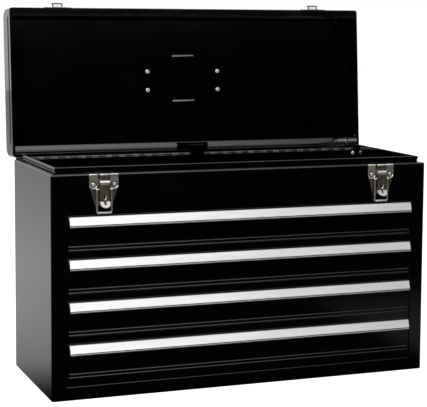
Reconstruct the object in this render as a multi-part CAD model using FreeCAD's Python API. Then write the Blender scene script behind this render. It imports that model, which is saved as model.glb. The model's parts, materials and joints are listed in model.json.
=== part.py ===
import FreeCAD, Part
import math
import os

# A portable four-drawer machinist tool chest of folded, painted sheet steel, with its lid open.
# Millimetres. Origin at the middle of the underside, +X to the right, +Y to the back, +Z up.
# Lid pieces are built shut and then turned open about the hinge pin.

# Overall sizes
case_width = 520.0
case_depth = 203.0
case_height = 286.0
sheet = 1.0
case_edge_radius = 2.2
lid_height = 42.8
lid_side_overhang = 1.15
lid_gap = 0.3
lid_open_angle = 94.4
overrun = 5.0
same_place = 0.001

# Till under the lid and its raised, hemmed rim
rim_height = 8.2
rim_inset_side = 6.7
rim_inset_front = 7.4
rim_hem_height = 3.4
rim_hem_thickness = 1.0
rim_hem_round_share = 0.45
rim_return_length = 7.3
till_depth = 45.0
shoulder_lip_height = 9.0

# Front frame
stile_width = 19.5
bottom_rail_height = 17.6
opening_flange_depth = 5.0
opening_edge_radius = 0.8

# Drawers
drawer_count = 4
drawer_gap = 0.7
drawer_side_gap = 0.8
front_return_depth = 7.0
front_edge_radius = 0.7
bead_width = 2.4
bead_height = 0.9
lower_bead_height = 10.8
bead_spacing = 4.4
bead_end_margin = 2.0
bead_rows = 2
pan_side_gap = 7.5
pan_back_gap = 3.1
pan_top_gap = 9.1
pan_floor_gap = 3.0
pan_edge_radius = 2.0

# Bright full-width pulls
pull_end_margin = 3.2
pull_top_gap = 0.2
pull_height = 12.6
pull_top_reach = 3.9
pull_low_reach = 7.3
pull_wall = 1.2
pull_tab_height = 4.5
pull_bead_height = 1.5
pull_groove_depth = 1.0
pull_groove_height = 1.0
pull_edge_radius = 0.4

# Drawer runners and the rails that carry them
runner_wall = 1.2
runner_side_gap = 0.7
runner_inner_half_height = 5.0
runner_lip = 2.4
runner_front_gap = 1.0
runner_back_gap = 1.5
rail_wall = 1.2
rail_plate = 1.6
rail_fit = 0.3
rail_side_fit = 0.5
rail_flange_half_height = 8.0
rail_front_gap = 0.5
runner_share = 0.5

# Piano hinge along the back
hinge_end_margin = 3.0
knuckle_count = 53
knuckle_radius = 1.8
knuckle_gap = 0.3
hinge_pin_radius = 0.9
hinge_fit = 0.05
hinge_rise = 0.6
hinge_clearance = 0.3
hinge_leaf_thickness = 0.8
hinge_leaf_width = 14.0

# Lid
lid_bend_radius = 14.0
lid_end_radius = 3.6
lid_lip_width = 2.6
groove_width = 7.0
groove_depth = 1.0
groove_rise = 11.8
groove_front_margin = 13.5
groove_back_margin = 19.5

# Folding handle on the lid
handle_offset = -1.2
bracket_spacing = 107.0
bracket_width = 16.0
bracket_length = 40.0
bracket_thickness = 1.2
handle_rivet_spacing = 26.6
handle_wire_radius = 3.0
handle_fit = 0.05
saddle_wall = 1.3
saddle_length = 10.0
saddle_lift = 0.25
handle_bend_radius = 6.0
handle_leg_gap = 4.0
stub_margin = 2.0
grip_radius = 8.5
grip_end_gap = 2.0
grip_edge_radius = 2.5
grip_rest_gap = 0.3
rest_reach = 32.4
rest_radius = 2.6
rest_length = 33.4
slot_offset = 3.7
slot_height = 2.8

# Draw latches on the front
latch_inset = 67.5
latch_plate_width = 38.0
latch_plate_top_gap = 0.6
latch_shoulder_drop = 16.5
latch_plate_drop = 39.5
latch_tail_width = 23.2
latch_plate_thickness = 1.0
latch_corner_radius = 2.5
latch_window_width = 12.0
latch_window_height = 7.5
latch_window_drop = 1.4
latch_rivet_drop = 13.6
latch_rivet_spacing = 27.0
latch_pivot_drop = 11.0
latch_pivot_reach = 4.6
ear_wall = 0.9
ear_half_height = 4.3
ear_reach = 7.4
ear_corner_radius = 2.0
ear_gap = 0.3
latch_pin_radius = 1.5
latch_pin_stand = 0.2
latch_pin_fit = 0.05
lever_width = 12.8
lever_wall = 1.2
lever_barrel_radius = 2.6
lever_plate_reach = 4.8
lever_plate_drop = 24.0
lever_tab_drop = 31.3
lever_tab_angle = 45.0
lever_flange_top_drop = 4.0
lever_flange_low_drop = 12.5
lever_flange_depth = 3.0
lever_slot_width = 3.0
lever_slot_top_drop = 16.0
lever_slot_low_drop = 22.4
bail_pivot_drop = 8.5
bail_pivot_reach = 3.3
bail_wire_radius = 1.1
bail_width = 20.9
bail_drop = 29.6
bail_bend_radius = 2.2
bail_foot_gap = 2.3
bail_end_margin = 0.4
bail_fit = 0.05

# Strikes on the lid's front
strike_width = 37.0
strike_height = 18.0
strike_rise = 3.0
strike_corner_radius = 2.0
hook_width = 14.5
hook_wall = 1.2
hook_seat_gap = 0.4
hook_side_gap = 1.5
hook_lip_height = 4.5
strike_rivet_rise = 12.0

# Rivets
rivet_head_radius = 2.7
rivet_head_height = 1.3
rivet_shank_radius = 1.6
rivet_tail_radius = 2.4
rivet_tail_height = 0.8
handle_rivet_head_radius = 3.2
till_rivet_inset = 6.0
till_rivet_drop = 4.5
rivet_dome_share = 0.85

# Lock bar that holds the drawers while the lid is shut
lock_bar_width = 21.0
lock_bar_thickness = 2.0
lock_bar_gap = 0.5
lock_bar_rise = 14.2
lock_bar_foot = 24.0
lock_travel = 8.0
lock_slot_fit = 0.6
catch_width = 8.0
catch_wall = 1.0
catch_lip_height = 5.0
catch_fit = 1.0
catch_height_share = 0.5
guide_fit = 0.3
guide_wall = 3.0
guide_front_wall = 1.8
guide_height = 8.0
guide_margin = 6.0
pusher_width = 47.0
pusher_wall = 1.2
pusher_depth = 12.6
pusher_flange_height = 14.0
pusher_touch_gap = 0.4

# Places that follow from the sizes above
half_width = case_width / 2
half_depth = case_depth / 2
front_y = -half_depth
back_y = half_depth
shoulder_z = case_height
frame_return = rim_inset_front + rim_hem_thickness
till_half_width = half_width - rim_inset_side - rim_hem_thickness
till_half_depth = half_depth - frame_return
till_floor_z = shoulder_z - till_depth
rim_top_z = shoulder_z + rim_height

# The band above the drawers is as high as the hanging latches need.
top_band_height = latch_pivot_drop + bail_pivot_drop + bail_drop + bail_wire_radius + bail_foot_gap
opening_half_width = half_width - stile_width
opening_top_z = case_height - top_band_height
opening_height = opening_top_z - bottom_rail_height
drawer_pitch = (opening_height - drawer_gap) / drawer_count
drawer_front_height = drawer_pitch - drawer_gap
drawer_front_half_width = opening_half_width - drawer_side_gap

hinge_length = case_width - 2 * hinge_end_margin
hinge_y = back_y + knuckle_radius + hinge_clearance
hinge_z = shoulder_z + hinge_rise
lid_bottom_z = shoulder_z + lid_gap
lid_top_z = lid_bottom_z + lid_height
lid_half_width = half_width + lid_side_overhang

latch_spacing = case_width - 2 * latch_inset
latch_top_z = case_height - latch_plate_top_gap
latch_pivot_y = front_y - latch_pivot_reach
latch_pivot_z = case_height - latch_pivot_drop
bail_pivot_y = front_y - bail_pivot_reach
bail_pivot_z = latch_pivot_z - bail_pivot_drop
bail_half_width = bail_width / 2 - bail_wire_radius
hook_seat_z = bail_pivot_z + bail_drop - bail_wire_radius - hook_seat_gap
strike_z = lid_bottom_z + strike_rise

saddle_radius = handle_wire_radius + handle_fit + saddle_wall
handle_pivot_rise = saddle_radius + saddle_lift
handle_pivot_z = lid_top_z + handle_pivot_rise
grip_rise = rest_radius + grip_rest_gap + grip_radius - handle_pivot_rise
handle_reach = math.hypot(rest_reach, grip_rise)
handle_rest_angle = math.degrees(math.atan2(grip_rise, rest_reach))

lock_bar_back_y = till_half_depth - sheet - lock_bar_gap
lock_bar_front_y = lock_bar_back_y - lock_bar_thickness
lock_bar_top_z = shoulder_z + lock_bar_rise

pan_half_width = opening_half_width - pan_side_gap
pan_front_y = front_y + sheet
pan_back_y = lock_bar_front_y - pan_back_gap
pan_height = drawer_front_height - pan_floor_gap - pan_top_gap
runner_width = opening_half_width - runner_side_gap - pan_half_width


def vec(x, y, z):
    return FreeCAD.Vector(x, y, z)


def box(x0, x1, y0, y1, z0, z1):
    return Part.makeBox(x1 - x0, y1 - y0, z1 - z0, vec(x0, y0, z0))


def wide_box(half_x, y0, y1, z0, z1):
    return box(-half_x, half_x, y0, y1, z0, z1)


def rod_x(radius, x0, x1, y, z):
    return Part.makeCylinder(radius, x1 - x0, vec(x0, y, z), vec(1, 0, 0))


def rod_y(radius, x, y0, y1, z):
    return Part.makeCylinder(radius, y1 - y0, vec(x, y0, z), vec(0, 1, 0))


def rod_z(radius, x, y, z0, z1):
    return Part.makeCylinder(radius, z1 - z0, vec(x, y, z0), vec(0, 0, 1))


def prism_x(outline, x0, x1):
    """A closed outline of (y, z) points drawn along X."""
    points = [vec(x0, y, z) for y, z in outline]
    face = Part.Face(Part.makePolygon(points + points[:1]))
    return face.extrude(vec(x1 - x0, 0, 0))


def prism_y(outline, y0, y1):
    """A closed outline of (x, z) points drawn along Y."""
    points = [vec(x, y0, z) for x, z in outline]
    face = Part.Face(Part.makePolygon(points + points[:1]))
    return face.extrude(vec(0, y1 - y0, 0))


def lengths(edge):
    limits = edge.BoundBox
    return {"x": limits.XLength, "y": limits.YLength, "z": limits.ZLength}


def edges_along(shape, axis):
    """The straight edges that lie along the axis named x, y or z."""
    others = [name for name in "xyz" if name != axis]
    return [edge for edge in shape.Edges if max(lengths(edge)[name] for name in others) < same_place]


def near(value, place):
    return abs(value - place) < same_place


def fuse_all(shapes):
    """One solid from several that meet."""
    return shapes[0].multiFuse(shapes[1:]).removeSplitter()


def mirrored(shape):
    return shape.mirror(vec(0, 0, 0), vec(1, 0, 0))


def moved_x(shape, distance):
    moved = shape.copy()
    moved.translate(vec(distance, 0, 0))
    return moved


def opened(shape):
    """Turn a piece of the shut lid to its open rest about the hinge pin."""
    turned = shape.copy()
    turned.rotate(vec(0, hinge_y, hinge_z), vec(1, 0, 0), -lid_open_angle)
    return turned


def save(name, shape):
    shape.exportStep(os.path.join("parts", name + ".step"))


def bent_wire(points, bend_radius, wire_radius):
    """A round wire along straight runs joined by tangent quarter bends."""
    edges = []
    start = points[0]
    for corner, after in zip(points[1:-1], points[2:]):
        inward = (corner - start).normalize()
        outward = (after - corner).normalize()
        bend_start = corner - inward * bend_radius
        bend_end = corner + outward * bend_radius
        centre = bend_start + outward * bend_radius
        bend_middle = centre + (corner - centre).normalize() * bend_radius
        edges.append(Part.LineSegment(start, bend_start).toShape())
        edges.append(Part.Arc(bend_start, bend_middle, bend_end).toShape())
        start = bend_end
    edges.append(Part.LineSegment(start, points[-1]).toShape())
    circle = Part.Wire([Part.Circle(points[0], points[1] - points[0], wire_radius).toShape()])
    return Part.Wire(edges).makePipeShell([circle], True, True)


def rivet(place, direction, grip, head_radius):
    """A domed rivet whose head seats at place and looks along direction."""
    head = Part.makeCylinder(head_radius, rivet_head_height)
    rim = [edge for edge in head.Edges if near(edge.BoundBox.ZMin, rivet_head_height)]
    head = head.makeFillet(rivet_head_height * rivet_dome_share, rim)
    shank = Part.makeCylinder(rivet_shank_radius, grip, vec(0, 0, -grip))
    tail = Part.makeCylinder(rivet_tail_radius, rivet_tail_height, vec(0, 0, -grip - rivet_tail_height))
    whole = fuse_all([head, shank, tail])
    whole.Placement = FreeCAD.Placement(place, FreeCAD.Rotation(vec(0, 0, 1), direction))
    return whole


def rounded_box(outer, radius, axis):
    """A box with its four edges along one axis rounded."""
    return outer.makeFillet(radius, edges_along(outer, axis))


def long_slot(half_length, y, half_height, z0, z1):
    """A round-ended slot cutter along X, cut down through Z."""
    end_x = half_length - half_height
    middle = wide_box(end_x, y - half_height, y + half_height, z0, z1)
    return fuse_all([middle] + [rod_z(half_height, x, y, z0, z1) for x in (-end_x, end_x)])


def case_skin():
    """The folded skin of the whole case, with the shoulder and its turned-down lip round the till."""
    outer = wide_box(half_width, front_y, back_y, 0, shoulder_z)
    outer = outer.makeFillet(case_edge_radius, outer.Edges)
    inner = wide_box(half_width - sheet, front_y + sheet, back_y - sheet, sheet, shoulder_z - sheet)
    inner = inner.makeFillet(case_edge_radius - sheet, inner.Edges)
    lip_z = shoulder_z - shoulder_lip_height
    lip = wide_box(till_half_width + sheet, -till_half_depth - sheet, till_half_depth + sheet,
                   lip_z, shoulder_z - sheet)
    well = wide_box(till_half_width, -till_half_depth, till_half_depth, lip_z - overrun, shoulder_z + overrun)
    return outer.cut(inner).fuse(lip).cut(well).removeSplitter()


def latch_rivet_places():
    """Where each latch rivet's head seats."""
    z = case_height - latch_rivet_drop
    y = front_y - latch_plate_thickness
    return [vec(side * latch_spacing / 2 + end * latch_rivet_spacing / 2, y, z)
            for side in (-1, 1) for end in (-1, 1)]


def till_rivet_places():
    x = till_half_width - sheet - till_rivet_inset
    return [vec(side * x, till_half_depth - sheet, shoulder_z - till_rivet_drop) for side in (-1, 1)]


def rivet_holes_y(places, y0, y1):
    return [rod_y(rivet_shank_radius, place.x, y0, y1, place.z) for place in places]


def case_zone(y0, y1):
    """The part of the case between two places from front to back."""
    return wide_box(half_width + overrun, y0, y1, -overrun, shoulder_z + overrun)


def front_frame(skin):
    zone = case_zone(front_y - overrun, front_y + frame_return)
    frame = skin.common(zone)
    flange = wide_box(opening_half_width + sheet, front_y, front_y + opening_flange_depth,
                      bottom_rail_height - sheet, opening_top_z + sheet)
    opening = wide_box(opening_half_width, front_y - overrun, front_y + frame_return,
                       bottom_rail_height, opening_top_z)
    frame = frame.fuse(flange).cut(opening).removeSplitter()
    rim = [edge for edge in frame.Edges
           if near(edge.BoundBox.YMin, front_y) and near(edge.BoundBox.YMax, front_y)
           and max(abs(edge.BoundBox.XMin), abs(edge.BoundBox.XMax)) < opening_half_width + same_place
           and edge.BoundBox.ZMax < opening_top_z + same_place
           and edge.BoundBox.ZMin > bottom_rail_height - same_place]
    frame = frame.makeFillet(opening_edge_radius, rim)
    return frame.cut(rivet_holes_y(latch_rivet_places(), front_y - overrun, front_y + frame_return / 2))


def back_panel(skin):
    zone = case_zone(back_y - frame_return, back_y + overrun)
    holes = rivet_holes_y(till_rivet_places(), till_half_depth - overrun, till_half_depth + overrun)
    return skin.common(zone).cut(holes)


def bottom_panel(skin):
    zone = wide_box(half_width + overrun, front_y + frame_return, back_y - frame_return,
                    -overrun, frame_return)
    return skin.common(zone)


def side_panel(skin):
    """The right side, with its share of the shoulder."""
    zone = box(0, half_width + overrun, front_y + frame_return, back_y - frame_return,
               frame_return, shoulder_z + overrun)
    return skin.common(zone)


def till_tray():
    """The open till with its raised rim, hemmed on three sides and turned in at the back corners."""
    body = wide_box(till_half_width, -till_half_depth, till_half_depth, till_floor_z - sheet, rim_top_z)
    hem_z = rim_top_z - rim_hem_height
    hem = wide_box(till_half_width + rim_hem_thickness, -till_half_depth - rim_hem_thickness, till_half_depth,
                   hem_z, rim_top_z)
    inside = wide_box(till_half_width - sheet, -till_half_depth + sheet, till_half_depth - sheet,
                      till_floor_z, rim_top_z + overrun)
    low_back = wide_box(till_half_width - sheet, till_half_depth - sheet - overrun, till_half_depth + overrun,
                        shoulder_z, rim_top_z + overrun)
    bar_slot = wide_box(lock_bar_width / 2 + lock_slot_fit,
                        lock_bar_front_y - lock_slot_fit, lock_bar_back_y + lock_bar_gap,
                        till_floor_z - sheet - overrun, till_floor_z + overrun)
    tray = body.fuse(hem).cut([inside, low_back, bar_slot]).removeSplitter()
    top = [edge for edge in tray.Edges
           if near(edge.BoundBox.ZMin, rim_top_z) and near(edge.BoundBox.ZMax, rim_top_z)
           and edge.Length > case_depth / 2]
    hem_radius = (sheet + rim_hem_thickness) * rim_hem_round_share
    tray = tray.makeFillet(hem_radius, top)
    rim_return = box(till_half_width - rim_return_length, till_half_width - sheet / 2,
                     till_half_depth - sheet, till_half_depth, shoulder_z - sheet, rim_top_z - hem_radius)
    tray = fuse_all([tray, rim_return, mirrored(rim_return)])
    return tray.cut(rivet_holes_y(till_rivet_places(), till_half_depth - overrun, till_half_depth + overrun))


def drawer_base_z(number):
    """Bottom edge of a drawer front; drawer 1 is the top one."""
    return bottom_rail_height + drawer_gap + (drawer_count - number) * drawer_pitch


def runner_z(number):
    return drawer_base_z(number) + drawer_front_height * runner_share


def catch_z(number):
    return drawer_base_z(number) + pan_floor_gap + pan_height * catch_height_share


def bead(z):
    """One long round-ended rib pressed out of a drawer front."""
    radius = (bead_width ** 2 / 4 + bead_height ** 2) / (2 * bead_height)
    y = front_y - bead_height + radius
    end_x = drawer_front_half_width - bead_end_margin - bead_width / 2
    rib = fuse_all([rod_x(radius, -end_x, end_x, y, z),
                    Part.makeSphere(radius, vec(-end_x, y, z)),
                    Part.makeSphere(radius, vec(end_x, y, z))])
    keep = wide_box(half_width, front_y - bead_width, front_y + sheet / 2, z - bead_width, z + bead_width)
    return rib.common(keep)


def drawer_front(number):
    z0 = drawer_base_z(number)
    z1 = z0 + drawer_front_height
    block = wide_box(drawer_front_half_width, front_y, front_y + front_return_depth, z0, z1)
    rim = [edge for edge in block.Edges if near(edge.BoundBox.YMax, front_y)]
    block = block.makeFillet(front_edge_radius, rim)
    hollow = wide_box(drawer_front_half_width - sheet, front_y + sheet,
                      front_y + front_return_depth + overrun, z0 + sheet, z1 - sheet)
    beads = [bead(z0 + lower_bead_height + row * bead_spacing) for row in range(bead_rows)]
    return fuse_all([block.cut(hollow)] + beads)


def drawer_pan(number):
    """The open pan, with the bent tab at its back that the lock bar holds."""
    z0 = drawer_base_z(number) + pan_floor_gap
    z1 = z0 + pan_height
    outer = wide_box(pan_half_width, pan_front_y, pan_back_y, z0, z1)
    low = [edge for edge in edges_along(outer, "y") if near(edge.BoundBox.ZMin, z0)]
    outer = outer.makeFillet(pan_edge_radius, low)
    inner = wide_box(pan_half_width - sheet, pan_front_y + sheet, pan_back_y - sheet,
                     z0 + sheet, z1 + overrun)
    low = [edge for edge in edges_along(inner, "y") if near(edge.BoundBox.ZMin, z0 + sheet)]
    inner = inner.makeFillet(pan_edge_radius - sheet, low)
    tab_z = catch_z(number)
    lip_y = lock_bar_back_y + catch_fit
    tab = wide_box(catch_width / 2, pan_back_y - sheet / 2, lip_y + catch_wall, tab_z, tab_z + catch_wall)
    lip = wide_box(catch_width / 2, lip_y, lip_y + catch_wall, tab_z, tab_z + catch_lip_height)
    return fuse_all([outer.cut(inner), tab, lip])


def drawer_pull(number):
    """The bright strip: a slanted face hung from a top web, with a bead along its lower edge."""
    top = drawer_base_z(number) + drawer_front_height - pull_top_gap
    low = top - pull_height
    bead_top = low + pull_bead_height
    slant_low = bead_top + pull_groove_height
    face = front_y - pull_low_reach
    inner = face + pull_groove_depth + pull_wall
    nose = front_y - pull_top_reach
    outline = [(front_y, top),
               (nose, top),
               (face, slant_low),
               (face + pull_groove_depth, slant_low),
               (face + pull_groove_depth, bead_top),
               (face, bead_top),
               (face, low),
               (inner, low),
               (inner, slant_low),
               (nose + pull_wall, top - pull_wall),
               (front_y - pull_wall, top - pull_wall),
               (front_y - pull_wall, top - pull_tab_height),
               (front_y, top - pull_tab_height)]
    half_length = opening_half_width - pull_end_margin
    strip = prism_x(outline, -half_length, half_length)
    soft = [edge for edge in edges_along(strip, "x")
            if (near(edge.BoundBox.YMin, nose) and near(edge.BoundBox.ZMin, top))
            or (near(edge.BoundBox.YMin, face) and edge.BoundBox.ZMin < slant_low - same_place)]
    return strip.makeFillet(pull_edge_radius, soft)


def drawer_runner(number):
    """The right runner: a channel on the pan's side with its lipped mouth outward."""
    z = runner_z(number)
    y0 = front_y + front_return_depth + runner_front_gap
    y1 = pan_back_y - runner_back_gap
    outer_x = pan_half_width + runner_width
    half_height = runner_inner_half_height + runner_wall
    mouth = runner_inner_half_height - runner_lip
    outer = box(pan_half_width, outer_x, y0, y1, z - half_height, z + half_height)
    channel = box(pan_half_width + runner_wall, outer_x - runner_wall, y0 - overrun, y1 + overrun,
                  z - runner_inner_half_height, z + runner_inner_half_height)
    way_in = box(pan_half_width + runner_wall, outer_x + overrun, y0 - overrun, y1 + overrun,
                 z - mouth, z + mouth)
    return outer.cut([channel, way_in])


def rail(number):
    """The right rail: a shelf from the side panel with a head that rides inside the runner."""
    z = runner_z(number)
    y0 = front_y + front_return_depth + runner_front_gap + rail_front_gap
    y1 = pan_back_y - runner_back_gap
    wall_x = half_width - sheet
    head_x = pan_half_width + runner_wall + rail_side_fit
    head_half_height = runner_inner_half_height - rail_fit
    head = box(head_x, head_x + rail_wall, y0, y1, z - head_half_height, z + head_half_height)
    shelf = box(head_x, wall_x, y0, y1, z - rail_plate / 2, z + rail_plate / 2)
    flange = box(wall_x - rail_wall, wall_x, y0, y1, z - rail_flange_half_height, z + rail_flange_half_height)
    return fuse_all([head, shelf, flange])


def lock_bar():
    """The flat bar behind the drawers, with a window for each drawer's tab."""
    bar = wide_box(lock_bar_width / 2, lock_bar_front_y, lock_bar_back_y, lock_bar_foot, lock_bar_top_z)
    half_window = catch_width / 2 + catch_fit
    windows = []
    for number in range(1, drawer_count + 1):
        low = catch_z(number) - catch_fit
        high = catch_z(number) + catch_wall + catch_fit + lock_travel
        windows.append(wide_box(half_window, lock_bar_front_y - overrun, lock_bar_back_y + overrun,
                                low, high))
    return bar.cut(windows)


def lock_bar_guides():
    """Two blocks on the back panel that the lock bar slides through."""
    half_slot = lock_bar_width / 2 + guide_fit
    y0 = lock_bar_front_y - guide_fit
    top_z = till_floor_z - sheet - guide_margin - guide_height
    blocks = []
    for z in (lock_bar_foot + guide_margin - guide_height / 2, top_z):
        block = wide_box(half_slot + guide_wall, y0 - guide_front_wall, back_y - sheet, z, z + guide_height)
        slot = wide_box(half_slot, y0, lock_bar_back_y + guide_fit, z - overrun, z + guide_height + overrun)
        blocks.append(block.cut(slot))
    return Part.makeCompound(blocks)


def hinge_leaf(first, side):
    """One leaf of the shut hinge with every second knuckle; side is 1 for the lid and -1 for the case."""
    pitch = hinge_length / knuckle_count
    start = -hinge_length / 2
    near_z = hinge_z + side * (knuckle_radius + knuckle_gap)
    far_z = hinge_z + side * hinge_leaf_width
    leaf_y = back_y + hinge_leaf_thickness
    pieces = [box(start, -start, back_y, leaf_y, min(near_z, far_z), max(near_z, far_z))]
    for number in range(first, knuckle_count, 2):
        x0 = start + number * pitch + knuckle_gap / 2
        x1 = start + (number + 1) * pitch - knuckle_gap / 2
        pieces.append(rod_x(knuckle_radius, x0, x1, hinge_y, hinge_z))
        pieces.append(box(x0, x1, back_y, leaf_y, min(near_z, hinge_z), max(near_z, hinge_z)))
    bore = rod_x(hinge_pin_radius + hinge_fit, start - overrun, -start + overrun, hinge_y, hinge_z)
    return fuse_all(pieces).cut(bore)


def hinge_pin():
    return rod_x(hinge_pin_radius, -hinge_length / 2, hinge_length / 2, hinge_y, hinge_z)


def lid_block(inset):
    """The lid's outer shape, or with an inset the space inside its sheet."""
    half_x = lid_half_width - inset
    block = wide_box(half_x, front_y + inset, back_y - inset, lid_bottom_z, lid_top_z - inset)
    bends = [edge for edge in edges_along(block, "x") if near(edge.BoundBox.ZMax, lid_top_z - inset)]
    block = block.makeFillet(lid_bend_radius - inset, bends)
    ends = [edge for edge in block.Edges
            if (near(edge.BoundBox.XMax, -half_x) or near(edge.BoundBox.XMin, half_x))
            and not near(edge.BoundBox.ZMax, lid_bottom_z)]
    return block.makeFillet(lid_end_radius - inset, ends)


def side_groove(grow):
    """The long dimple down the right side wall, grown for the inside of the sheet."""
    radius = (groove_width ** 2 / 4 + groove_depth ** 2) / (2 * groove_depth)
    x = lid_half_width - groove_depth + radius
    z = lid_bottom_z + groove_rise
    y0 = front_y + groove_front_margin
    y1 = back_y - groove_back_margin
    return fuse_all([rod_y(radius + grow, x, y0, y1, z),
                     Part.makeSphere(radius + grow, vec(x, y0, z)),
                     Part.makeSphere(radius + grow, vec(x, y1, z))])


def rest_y(side):
    return handle_offset + side * rest_reach


def handle_rest(side):
    """A raised bar on the lid that the folded grip comes down on."""
    half_length = rest_length / 2 - rest_radius
    y = rest_y(side)
    bar = fuse_all([rod_x(rest_radius, -half_length, half_length, y, lid_top_z),
                    Part.makeSphere(rest_radius, vec(-half_length, y, lid_top_z)),
                    Part.makeSphere(rest_radius, vec(half_length, y, lid_top_z))])
    return bar.common(wide_box(rest_length, y - rest_length, y + rest_length,
                               lid_top_z - sheet / 2, lid_top_z + rest_length))


def handle_rivet_places():
    """Where the heads of the handle rivets seat, inside the lid."""
    return [vec(side * bracket_spacing / 2, handle_offset + end * handle_rivet_spacing / 2, lid_top_z - sheet)
            for side in (-1, 1) for end in (-1, 1)]


def strike_rivet_places():
    z = strike_z + strike_rivet_rise
    y = front_y - latch_plate_thickness
    return [vec(side * latch_spacing / 2 + end * latch_rivet_spacing / 2, y, z)
            for side in (-1, 1) for end in (-1, 1)]


def lid_shell():
    outer = lid_block(0)
    lip_z = lid_bottom_z + sheet
    ring = outer.common(wide_box(lid_half_width, front_y, back_y, lid_bottom_z, lip_z))
    lip_inset = sheet + lid_lip_width
    way_in = wide_box(lid_half_width - lip_inset, front_y + lip_inset, back_y - lip_inset,
                      lid_bottom_z - overrun, lip_z + overrun)
    inside = wide_box(lid_half_width - sheet / 2, front_y, back_y, lid_bottom_z, lid_top_z)
    ridge = side_groove(sheet).common(inside)
    shell = fuse_all([outer.cut(lid_block(sheet)), ring.cut(way_in), ridge, mirrored(ridge),
                      handle_rest(-1), handle_rest(1)])
    cutters = [side_groove(0), mirrored(side_groove(0))]
    for side in (-1, 1):
        cutters.append(long_slot(rest_length / 2, rest_y(side) - slot_offset, slot_height / 2,
                                 lid_top_z - overrun, lid_top_z + overrun))
    for place in handle_rivet_places():
        cutters.append(rod_z(rivet_shank_radius, place.x, place.y, lid_top_z - overrun, lid_top_z + overrun))
    cutters += rivet_holes_y(strike_rivet_places(), front_y - overrun, front_y + overrun)
    return shell.cut(cutters)


def lock_pusher():
    """The angle inside the lid that presses the lock bar down."""
    z0 = lock_bar_top_z - lock_travel + pusher_touch_gap
    wall_y = back_y - sheet
    flange = wide_box(pusher_width / 2, wall_y - pusher_wall, wall_y, z0, z0 + pusher_flange_height)
    shelf = wide_box(pusher_width / 2, wall_y - pusher_depth, wall_y, z0, z0 + pusher_wall)
    return fuse_all([flange, shelf])


def strike(side):
    """The plate and hook on the lid's front that a latch's wire bail pulls on."""
    x = side * latch_spacing / 2
    face_y = front_y - latch_plate_thickness
    lip_inner_y = bail_pivot_y - bail_wire_radius - hook_side_gap
    lip_y = lip_inner_y - hook_wall
    plate = box(-strike_width / 2, strike_width / 2, face_y, front_y, strike_z, strike_z + strike_height)
    plate = rounded_box(plate, strike_corner_radius, "y")
    shelf = wide_box(hook_width / 2, lip_y, front_y, hook_seat_z - hook_wall, hook_seat_z)
    lip = wide_box(hook_width / 2, lip_y, lip_inner_y, hook_seat_z - hook_wall, hook_seat_z + hook_lip_height)
    whole = moved_x(fuse_all([plate, shelf, lip]), x)
    return whole.cut(rivet_holes_y(strike_rivet_places(), face_y - overrun, front_y + overrun))


def handle_bracket(side):
    """A plate with a saddle across it for the handle's end."""
    x = side * bracket_spacing / 2
    plate = box(x - bracket_width / 2, x + bracket_width / 2, handle_offset - bracket_length / 2,
                handle_offset + bracket_length / 2, lid_top_z, lid_top_z + bracket_thickness)
    plate = rounded_box(plate, bracket_width / 4, "z")
    x0 = x - saddle_length / 2
    x1 = x + saddle_length / 2
    saddle = rod_x(saddle_radius, x0, x1, handle_offset, handle_pivot_z)
    cheeks = box(x0, x1, handle_offset - saddle_radius, handle_offset + saddle_radius,
                 lid_top_z, handle_pivot_z)
    bore = rod_x(handle_wire_radius + handle_fit, x0 - overrun, x1 + overrun, handle_offset, handle_pivot_z)
    whole = fuse_all([plate, saddle, cheeks]).cut(bore)
    holes = [rod_z(rivet_shank_radius, place.x, place.y, lid_top_z - overrun, lid_top_z + overrun)
             for place in handle_rivet_places()]
    return whole.cut(holes)


def handle_point(x, reach):
    """A point of the folded handle, at a distance from its pivot line."""
    angle = math.radians(handle_rest_angle)
    return vec(x, handle_offset + reach * math.cos(angle), handle_pivot_z + reach * math.sin(angle))


def handle_bail():
    leg_x = bracket_spacing / 2 + bracket_width / 2 + handle_leg_gap
    stub_x = bracket_spacing / 2 - saddle_length / 2 - stub_margin
    points = [handle_point(-stub_x, 0), handle_point(-leg_x, 0), handle_point(-leg_x, handle_reach),
              handle_point(leg_x, handle_reach), handle_point(leg_x, 0), handle_point(stub_x, 0)]
    return bent_wire(points, handle_bend_radius, handle_wire_radius)


def handle_grip():
    leg_x = bracket_spacing / 2 + bracket_width / 2 + handle_leg_gap
    half_length = leg_x - handle_bend_radius - grip_end_gap
    centre = handle_point(0, handle_reach)
    grip = rod_x(grip_radius, -half_length, half_length, centre.y, centre.z)
    rims = [edge for edge in grip.Edges if lengths(edge)["x"] < same_place]
    grip = grip.makeFillet(grip_edge_radius, rims)
    return grip.cut(rod_x(handle_wire_radius + handle_fit, -half_length - overrun, half_length + overrun,
                          centre.y, centre.z))


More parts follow.
